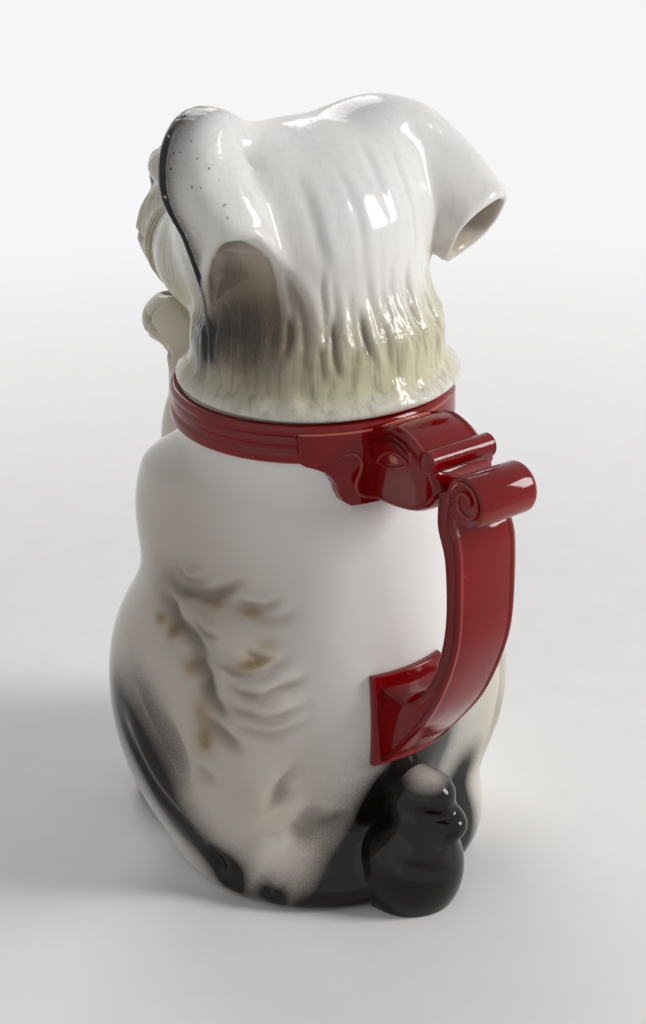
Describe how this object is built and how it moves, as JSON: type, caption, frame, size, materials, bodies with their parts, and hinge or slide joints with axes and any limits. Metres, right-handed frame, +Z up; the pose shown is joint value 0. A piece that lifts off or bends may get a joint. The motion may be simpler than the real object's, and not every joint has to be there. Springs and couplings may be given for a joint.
{
  "type": "figural teapot",
  "caption": "Glazed ceramic teapot shaped as a sitting terrier: the head is the lift-off lid, a raised foreleg is the spout, and a red collar carries a scrolled strap handle.",
  "frame": {"origin": "centre of the neck's mouth, projected on the flat base that the teapot stands on", "axes": "+Z up out of the neck, -Y the way the dog looks and pours, +Y the handle, +X the dog's left"},
  "size_m": [0.1246, 0.1663, 0.2318],
  "materials": {
    "white_glaze": "glossy white glaze with airbrushed grey-brown and black shading",
    "cream_glaze": "glossy cream glaze",
    "black_glaze": "glossy black glaze",
    "red_glaze": "deep glossy red glaze with pale edges"
  },
  "bodies": {
    "pot": {"body_shell": "white_glaze", "collar_band": "red_glaze", "spout_foreleg": "cream_glaze", "standing_foreleg": "cream_glaze", "hind_paw_left": "black_glaze", "hind_paw_right": "cream_glaze", "tail": "black_glaze", "handle_bracket": "red_glaze", "handle_volute": "red_glaze", "handle_strap": "red_glaze", "handle_foot_plate": "red_glaze"},
    "lid": {"head_shell": "white_glaze", "lid_flange": "cream_glaze", "ear_left": "white_glaze", "ear_right": "white_glaze"}
  },
  "joints": [
    {"name": "lid_lift", "type": "slide", "parent": "pot", "child": "lid", "axis": [0, 0, 1], "range_m": [0, 0.045]}
  ]
}
